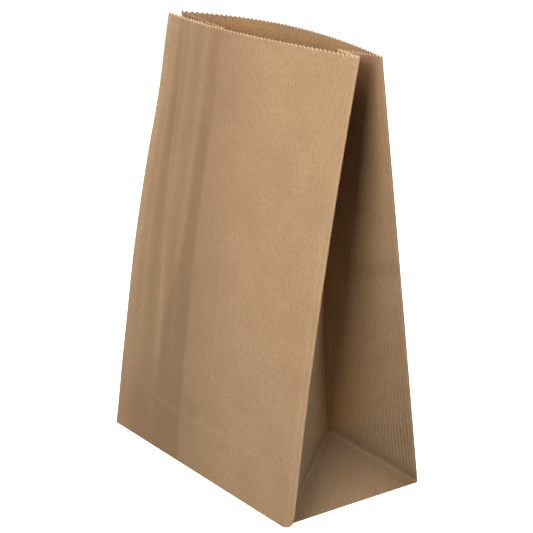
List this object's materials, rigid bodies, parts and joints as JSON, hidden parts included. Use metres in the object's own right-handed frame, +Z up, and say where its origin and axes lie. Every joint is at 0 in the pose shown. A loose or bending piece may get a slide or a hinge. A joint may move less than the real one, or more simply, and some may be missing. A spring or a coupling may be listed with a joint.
{
  "type": "brown paper lunch bag",
  "caption": "Flat-bottomed brown kraft paper lunch bag with folded-in sides and a saw-cut mouth, standing open and pinched in at the top.",
  "frame": {"origin": "middle of the base, on the face it stands on", "axes": "+Z up to the mouth, +X along the wide front and back panels, +Y from the front panel to the back panel"},
  "size_m": [0.1826, 0.0948, 0.2557],
  "materials": {
    "kraft_paper": "matte ribbed unbleached kraft"
  },
  "bodies": {
    "root": {"paper_bag": "kraft_paper"}
  },
  "joints": []
}
